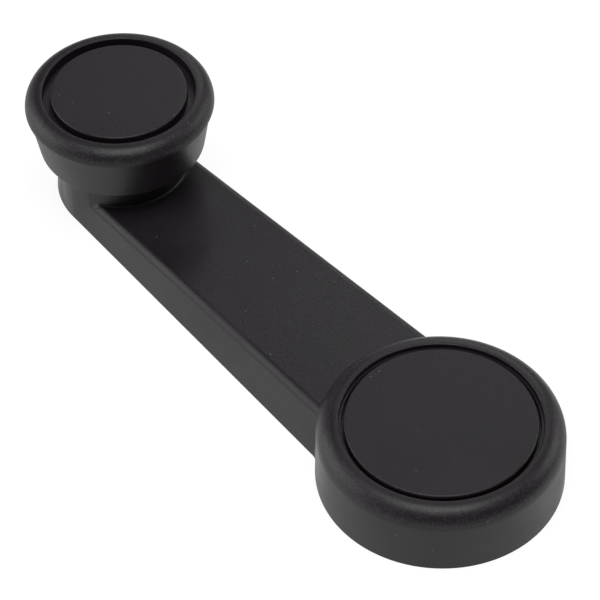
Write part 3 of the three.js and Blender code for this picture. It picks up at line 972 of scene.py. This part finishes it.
def boss_section():
    section = [(0, 0), (HALF_AT_KNOB, 0)]
    section += arc(BOSS_RADIUS - BOSS_EDGE, BOSS_TOP - BOSS_EDGE, BOSS_EDGE, BOSS_EDGE, 0, 90)
    return section + [(0, BOSS_TOP)]


def boss_bore_section():
    above = BOSS_TOP + OVERRUN
    section = [(0, -OVERRUN), (PIN_HEAD + GAP, -OVERRUN), (PIN_HEAD + GAP, PIN_SEAT)]
    section += [(PIN_BORE, PIN_SEAT), (PIN_BORE, WAVE_SEAT), (WAVE_RADIUS + GAP, WAVE_SEAT)]
    return section + [(WAVE_RADIUS + GAP, above), (0, above)]


def ring_section(inner, outer, low, high):
    return [(inner, low), (outer, low), (outer, high), (inner, high)]


print("the recess has", len(hub_recess_section()), "points and the bore", len(boss_bore_section()))

# %% Join the hub and the boss to the arm
def boss_fillet():
    """A flare round the foot of the boss, tilted into the slope of the arm's top."""
    foot = BOSS_RADIUS + BOSS_FILLET
    section = [(0, -BOSS_FILLET), (foot, -BOSS_FILLET)]
    section += arc(foot, BOSS_FILLET + FILLET_LIFT, BOSS_FILLET, BOSS_FILLET, -90, -180)
    section.append((0, BOSS_FILLET + FILLET_LIFT))
    flare = turned("fillet", section, 0)
    slope = math.atan2(HEIGHT_AT_HUB - HEIGHT_AT_KNOB, REACH)
    place = Matrix.Translation(Vector((KNOB_X, 0, HEIGHT_AT_KNOB)) * MM)
    flare.data.transform(place @ Matrix.Rotation(slope, 4, "Y"))
    raised = arm_solid("raised", plate=-BOSS_FILLET, edge=ARM_EDGE + BOSS_FILLET)
    return combine(flare, "INTERSECT", raised)


combine(
    arm, "UNION",
    turned("hub", hub_section(), HUB_X),
    turned("boss", boss_section(), KNOB_X),
    boss_fillet(),
)
print("with hub and boss the arm has", len(arm.data.polygons), "faces")

# %% [markdown]
# ## The hollow underside
# A thick lump of plastic would sink as it cools, so the underside is cored out to even walls with
# ribs between them. Each hollow is made as its own solid, the ribs are cut out of it, and then it
# is cut from the arm, which leaves the ribs standing.

# %% Sizes of the hollows
ARM_WALL = 2.0
ARM_PLATE = 2.4
ARM_CELLS = 5
RIB_THICKNESS = 1.5
HUB_RIBS = 8
HUB_RIB_THICKNESS = 1.6
SKIRT_WALL = 2.1
HUB_SKIRT_INNER = HUB_SHOULDER - SKIRT_WALL
HEX_SIDES = 6
HEX_RADIUS = 8.1
HEX_HOLE = HEX_RADIUS + GAP / math.cos(math.pi / HEX_SIDES)
HUB_SLEEVE_WALL = 2.4
HUB_SLEEVE = HEX_HOLE + HUB_SLEEVE_WALL
BOSS_RIBS = 4
BOSS_SLEEVE = 6.9
BOSS_WALL = 2.2
BOSS_CEILING = BOSS_TOP - BOSS_WALL
BOSS_CELL_RADIUS = BOSS_RADIUS - BOSS_WALL
print(f"round the insert stands a sleeve {2 * HUB_SLEEVE:.2f} mm wide")

# %% Cylinders, blocks and hexagons
def cylinder(name, x, radius, low, high):
    return turned(name, [(0, low), (radius, low), (radius, high), (0, high)], x)


def long_block(name, x_low, x_high, half_width, low, high):
    bm = bmesh.new()
    size = Vector((x_high - x_low, 2 * half_width, high - low)) * MM
    middle = Vector(((x_low + x_high) / 2, 0, (low + high) / 2)) * MM
    place = Matrix.Translation(middle) @ Matrix.Diagonal((*size, 1))
    bmesh.ops.create_cube(bm, size=1, matrix=place)
    return add_object(name, bm)


def hex_prism(name, x, radius, low, high):
    bm = bmesh.new()
    place = Matrix.Translation((x * MM, 0, (low + high) / 2 * MM))
    bmesh.ops.create_cone(
        bm, cap_ends=True, segments=HEX_SIDES, radius1=radius * MM, radius2=radius * MM,
        depth=(high - low) * MM, matrix=place,
    )
    return add_object(name, bm)


# %% Shapes of the hollows
def arm_cells():
    start, end = HUB_X + HUB_BASE, KNOB_X - HALF_AT_KNOB
    pitch = (end - start + RIB_THICKNESS) / ARM_CELLS
    low, high = -2 * OVERRUN, HEIGHT_AT_HUB
    cells = arm_solid("cells", foot=-OVERRUN, wall=ARM_WALL, plate=ARM_PLATE)
    tools = [
        cylinder("hub part", HUB_X, HUB_BASE, low, high),
        cylinder("boss part", KNOB_X, HALF_AT_KNOB, low, high),
        long_block("spine", HUB_X, KNOB_X, RIB_THICKNESS / 2, low, high),
        long_block("tip", KNOB_X, KNOB_X + END_LENGTH, HALF_AT_HUB, low, high),
    ]
    for i in range(1, ARM_CELLS):
        x = start + i * pitch - RIB_THICKNESS
        tools.append(long_block("rib", x, x + RIB_THICKNESS, HALF_AT_HUB, low, high))
    return combine(cells, "DIFFERENCE", *tools)


def round_cells(x, inner, outer, ceiling, count, thickness):
    cells = turned("cells", ring_section(inner, outer, -OVERRUN, ceiling), x, closed=True)
    radii = (inner - JOIN, outer + JOIN)
    heights = (-2 * OVERRUN, ceiling + OVERRUN)
    ribs = star("ribs", x, count, 180 / count, radii, thickness, heights)
    return combine(cells, "DIFFERENCE", ribs)


# %% Core out the underside
combine(arm, "DIFFERENCE", arm_cells())
hub_cells = round_cells(
    HUB_X, HUB_SLEEVE, HUB_SKIRT_INNER, HUB_CEILING, HUB_RIBS, HUB_RIB_THICKNESS
)
boss_cells = round_cells(
    KNOB_X, BOSS_SLEEVE, BOSS_CELL_RADIUS, BOSS_CEILING, BOSS_RIBS, RIB_THICKNESS
)
combine(arm, "DIFFERENCE", hub_cells, boss_cells)
print("cored out, the arm has", len(arm.data.polygons), "faces")

# %% [markdown]
# ## The recess and the bores
# Now the seats of the other pieces are cut: the recess for the cap, the six-sided hole that keeps
# the insert from turning, a slot for each hooked leg of the cap, and the bore for the knob's pin.
# They could be part of the turned sections, but the hexagon and the slots aren't round, so all are
# cut in one step.

# %% Cut the recess, the hexagon, the slots and the bore
SLOT_OUTER = radius_of("hub_cap") - HUB_LEG_INSET + GAP
SLOT_DEPTH = 1.8
SLOT_WIDTH = 5.6
slot_radii = (SLOT_OUTER - SLOT_DEPTH, SLOT_OUTER)
slot_heights = (HUB_CEILING - OVERRUN, POCKET_FLOOR + OVERRUN)
combine(
    arm, "DIFFERENCE",
    turned("recess", hub_recess_section(), HUB_X),
    hex_prism("hexagon", HUB_X, HEX_HOLE, -OVERRUN, INSERT_TOP),
    star("slots", HUB_X, HUB_LEGS, 0, slot_radii, SLOT_WIDTH, slot_heights),
    turned("bore", boss_bore_section(), KNOB_X),
)
seat(arm, "arm", "arm_shell", arm_plastic, "black_plastic")

# %% [markdown]
# ## The pin, the bush and the washers
# These are turned or punched, and their corners are broken a little, so that they don't cut the
# fingers that fit them. The corners could be drawn into each section. Here every sharp edge is
# bevelled by the same hair instead. The wave washer starts as a flat ring that is pressed into
# three waves.

# %% Sizes of the pin and the washers
BROKEN_EDGE = 0.12
PIN_RADIUS = PIN_BORE - GAP
PIN_HEAD_HEIGHT = 1.6
NECK_DEPTH = 0.7
PIN_NECK = PIN_RADIUS - NECK_DEPTH
PIN_CHAMFER = 0.5
SHANK_RADIUS = 2.5
SHANK_HOLE = SHANK_RADIUS + GAP
WAVE_THICKNESS = 0.4
WAVE_COUNT = 3
print(f"the pin is {2 * PIN_RADIUS:.2f} mm thick")

# %% Break the edges
def is_sharp(edge):
    return edge.calc_face_angle(0) > SHARP_ANGLE


def break_edges(piece):
    """Bevels every sharp edge of a piece by a hair."""
    bevelled(piece, is_sharp, BROKEN_EDGE, segments=2)
    clean(piece)
    return piece


def washer(name, node_name, hole):
    section = ring_section(hole, radius_of(node_name), foot_of(node_name), top_of(node_name))
    return break_edges(turned(name, section, axis_of(node_name), closed=True))


# %% Sections of the pin, the bush and the wave washer
def pin_section():
    foot, top = foot_of("knob_pin"), top_of("knob_pin")
    head_top = foot + PIN_HEAD_HEIGHT
    groove_foot, groove_top = top_of("thrust_washer"), top_of("retaining_clip") + GAP
    section = [(0, foot), (PIN_HEAD, foot), (PIN_HEAD, head_top), (PIN_RADIUS, head_top)]
    section += [(PIN_RADIUS, groove_foot), (PIN_NECK, groove_foot), (PIN_NECK, groove_top)]
    section += [(PIN_RADIUS, groove_top), (PIN_RADIUS, top - PIN_CHAMFER)]
    return section + [(PIN_RADIUS - PIN_CHAMFER, top), (0, top)]


def bush_section():
    foot, top = foot_of("knob_bush"), top_of("knob_bush")
    flange_top = foot + FLANGE_THICKNESS
    section = [(PIN_BORE, foot), (BUSH_FLANGE, foot), (BUSH_FLANGE, flange_top)]
    return section + [(BUSH_RADIUS, flange_top), (BUSH_RADIUS, top), (PIN_BORE, top)]


def pressed_washer():
    """The wave washer: a flat ring whose height then follows three waves."""
    foot = foot_of("wave_washer")
    rise = (top_of("wave_washer") - foot - WAVE_THICKNESS) / 2
    section = ring_section(PIN_BORE, WAVE_RADIUS, foot, foot + WAVE_THICKNESS)
    ring = turned("wave_washer_ring", section, KNOB_X, closed=True)
    for vertex in ring.data.vertices:
        angle = math.atan2(vertex.co.y, vertex.co.x - KNOB_X * MM)
        vertex.co.z += rise * (1 + math.cos(WAVE_COUNT * angle)) * MM
    return break_edges(ring)


# %% Turn the round metal and nylon pieces
pin = break_edges(turned("pin_shaft", pin_section(), KNOB_X))
seat(pin, "arm", "knob_pin", zinc, "zinc_steel")
bush = break_edges(turned("bush_sleeve", bush_section(), KNOB_X, closed=True))
seat(bush, "knob", "knob_bush", nylon, "nylon")
seat(pressed_washer(), "arm", "wave_washer", spring, "spring_steel")
thrust_ring = washer("thrust_washer_ring", "thrust_washer", PIN_BORE)
seat(thrust_ring, "arm", "thrust_washer", zinc, "zinc_steel")
screw_ring = washer("screw_washer_ring", "screw_washer", SHANK_HOLE)
seat(screw_ring, "arm", "screw_washer", zinc, "zinc_steel")

# %% [markdown]
# ## The screw
# Its head is a pan with a cross recess, and its shank has a real thread. The thread could be a
# stack of rings, but a thread climbs as it turns. So the plain screw is turned with many rows, and
# each point is then pushed in by a depth that follows both its height and its angle. The thread
# fades out under the head.

# %% Sizes of the screw
THREAD_PITCH = 0.8
THREAD_DEPTH = 0.45
THREAD_ROWS = 10
THREAD_STEPS = 64
TIP_CHAMFER = 0.6
SCREW_TIP = foot_of("hub_screw")
SCREW_TOP = top_of("hub_screw")
SCREW_HEAD = radius_of("hub_screw")
SCREW_HEAD_HEIGHT = 2.0
SCREW_UNDER = SCREW_TOP - SCREW_HEAD_HEIGHT
SCREW_HEAD_ROUND = 1.0
CROSS_LENGTH = 4.6
CROSS_WIDTH = 1.2
CROSS_DEPTH = 1.1
print(f"the screw's shank is {SCREW_UNDER - SCREW_TIP:.2f} mm long")

# %% Draw the screw and its thread
def screw_section():
    count = round((SCREW_UNDER - SCREW_TIP) / THREAD_PITCH * THREAD_ROWS)
    section = [(0, SCREW_TIP)]
    for i in range(count + 1):
        above_tip = (SCREW_UNDER - SCREW_TIP) * i / count
        radius = min(SHANK_RADIUS, SHANK_RADIUS - TIP_CHAMFER + above_tip)
        section.append((radius, SCREW_TIP + above_tip))
    section.append((SCREW_HEAD, SCREW_UNDER))
    corner = SCREW_HEAD - SCREW_HEAD_ROUND, SCREW_TOP - SCREW_HEAD_ROUND
    section += arc(*corner, SCREW_HEAD_ROUND, SCREW_HEAD_ROUND, 0, 90)
    return section + [(0, SCREW_TOP)]


def cut_thread(piece):
    """Pushes the points of the shank in along a climbing groove."""
    axis = Vector((HUB_X, 0)) * MM
    for vertex in piece.data.vertices:
        spoke = vertex.co.xy - axis
        below_head = SCREW_UNDER - vertex.co.z / MM
        if below_head > 0 and spoke.length > MERGE * MM:
            turn = math.atan2(spoke.y, spoke.x) / (2 * math.pi)
            groove = abs(2 * ((vertex.co.z / MM / THREAD_PITCH - turn) % 1) - 1)
            spoke.length -= THREAD_DEPTH * groove * min(1, below_head / THREAD_PITCH) * MM
            vertex.co.xy = axis + spoke
    return piece


def cross_slot(start):
    """One of the two crossing slots of the recess in the head."""
    radii = (-CROSS_LENGTH / 2, CROSS_LENGTH / 2)
    heights = (SCREW_TOP - CROSS_DEPTH, SCREW_TOP + OVERRUN)
    return star("slot", HUB_X, 1, start, radii, CROSS_WIDTH, heights)


# %% Turn the screw
screw = cut_thread(turned("screw_with_thread", screw_section(), HUB_X, steps=THREAD_STEPS))
combine(screw, "DIFFERENCE", cross_slot(0), cross_slot(90))
seat(screw, "arm", "hub_screw", zinc, "zinc_steel")

# %% [markdown]
# ## The insert
# It is a hexagonal nut with a flange. Its socket has 24 teeth that grip the spindle. The teeth
# have small flats on their tips and between their roots, as broached teeth do, and the mouth is
# chamfered so that the spindle finds its way in.

# %% Sizes of the insert's socket
SPLINE_COUNT = 24
SPLINE_TIP = 4.6
SPLINE_ROOT = 5.1
SPLINE_POINTS = (
    (-0.14, SPLINE_ROOT), (0.14, SPLINE_ROOT), (0.38, SPLINE_TIP), (0.62, SPLINE_TIP),
)
WEB_THICKNESS = 1.6
MOUTH_CHAMFER = 0.4
insert_foot = foot_of("spline_insert")
web_under = INSERT_TOP - WEB_THICKNESS
print(f"the socket is {web_under - insert_foot:.2f} mm deep")

# %% Draw the insert's socket
def prism(name, x, outline, low, high):
    """Stands an outline of points round the axis up between two heights."""
    bm = bmesh.new()
    verts = [bm.verts.new(((x + p.x) * MM, p.y * MM, low * MM)) for p in outline]
    face = bm.faces.new(verts)
    grown = bmesh.ops.extrude_face_region(bm, geom=[face])["geom"]
    moved = [part for part in grown if isinstance(part, bmesh.types.BMVert)]
    bmesh.ops.translate(bm, verts=moved, vec=(0, 0, (high - low) * MM))
    bmesh.ops.recalc_face_normals(bm, faces=bm.faces)
    return add_object(name, bm)


def spline_outline():
    points = []
    for i in range(SPLINE_COUNT):
        for share, radius in SPLINE_POINTS:
            angle = 2 * math.pi * (i + share) / SPLINE_COUNT
            points.append(Vector((radius * math.cos(angle), radius * math.sin(angle))))
    return points


def mouth_section():
    """A cone that widens the socket towards its mouth."""
    foot, top = insert_foot - OVERRUN, insert_foot + SPLINE_ROOT + MOUTH_CHAMFER - SPLINE_TIP
    return [(0, foot), (SPLINE_ROOT + MOUTH_CHAMFER + OVERRUN, foot), (SPLINE_TIP, top), (0, top)]


print("the socket's outline has", len(spline_outline()), "points")

# %% Broach the insert
nut = break_edges(hex_prism("insert_nut", HUB_X, HEX_RADIUS, insert_foot, INSERT_TOP))
flange_foot = INSERT_TOP - INSERT_FLANGE_HEIGHT
flange = cylinder("flange", HUB_X, INSERT_FLANGE, flange_foot, INSERT_TOP)
combine(nut, "UNION", break_edges(flange))
combine(
    nut, "DIFFERENCE",
    prism("socket", HUB_X, spline_outline(), insert_foot - OVERRUN, web_under),
    turned("mouth", mouth_section(), HUB_X),
    cylinder("hole", HUB_X, SHANK_HOLE, web_under - OVERRUN, INSERT_TOP + OVERRUN),
)
seat(nut, "arm", "spline_insert", zinc, "zinc_steel")

# %% [markdown]
# ## The clip
# An open ring of spring steel snaps into the groove of the pin. It is punched from strip, so it
# is an outline with rounded ends, as thick as the strip.

# %% Punch the clip
CLIP_MOUTH = math.radians(70)
CLIP_END_ROUND = 0.8


def clip_outline(outer, inner):
    half = CLIP_MOUTH / 2
    centre = Vector((0, 0))
    points = flat_arc(centre, outer, outer, half, 2 * math.pi - half, RING_STEPS // 2)
    return points + flat_arc(centre, inner, inner, 2 * math.pi - half, half, RING_STEPS // 2)


def is_upright_corner(edge):
    return abs(edge.verts[0].co.z - edge.verts[1].co.z) > MERGE * MM and is_sharp(edge)


clip_shape = clip_outline(radius_of("retaining_clip"), PIN_NECK + GAP)
clip_foot, clip_top = foot_of("retaining_clip"), top_of("retaining_clip")
clip = prism("clip_ring", KNOB_X, clip_shape, clip_foot, clip_top)
break_edges(bevelled(clip, is_upright_corner, CLIP_END_ROUND, segments=ROUND_STEPS))
seat(clip, "arm", "retaining_clip", spring, "spring_steel")
